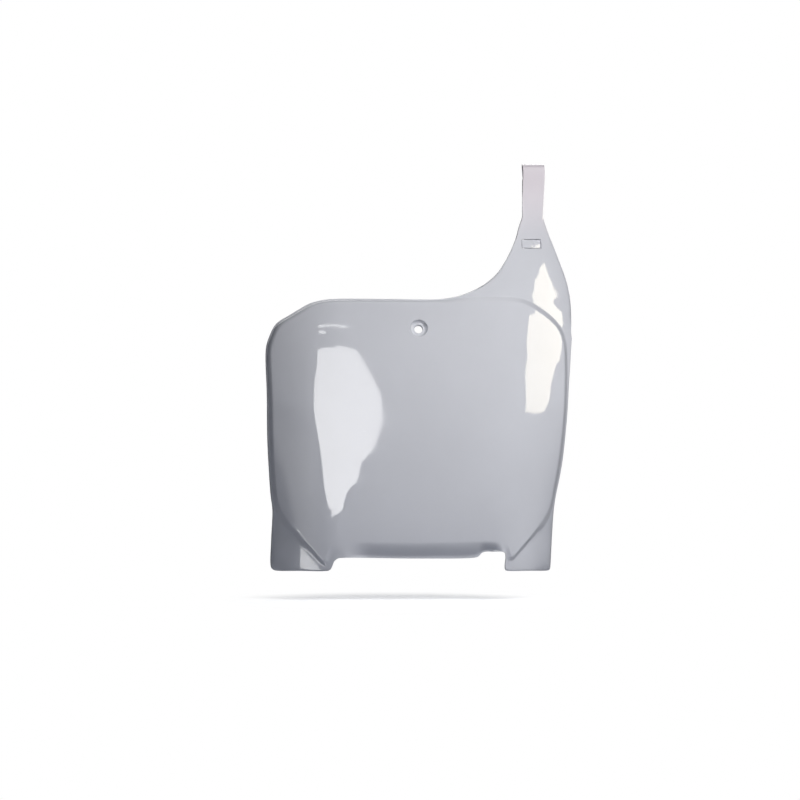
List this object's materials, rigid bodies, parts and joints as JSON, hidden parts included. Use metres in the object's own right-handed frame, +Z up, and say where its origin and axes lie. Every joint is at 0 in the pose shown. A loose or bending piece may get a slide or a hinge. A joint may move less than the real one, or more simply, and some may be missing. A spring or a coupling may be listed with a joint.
{
  "type": "racing number board",
  "caption": "Moulded front number plate for an off-road motorbike: a curved field, side wings with feet, and a neck with a strap that loops over the crossbar.",
  "frame": {"origin": "centre of the fixing hole, on the floor of its screw seat", "axes": "+Z up along the board's height, towards the strap; -Y out of the number field; +X to the side that carries the neck and strap, on the right as the front is seen"},
  "size_m": [0.2453, 0.1001, 0.3223],
  "materials": {
    "white_moulding": "glossy injection-moulded polypropylene, white with a cool grey cast"
  },
  "bodies": {
    "root": {"number_board": "white_moulding"}
  },
  "joints": []
}
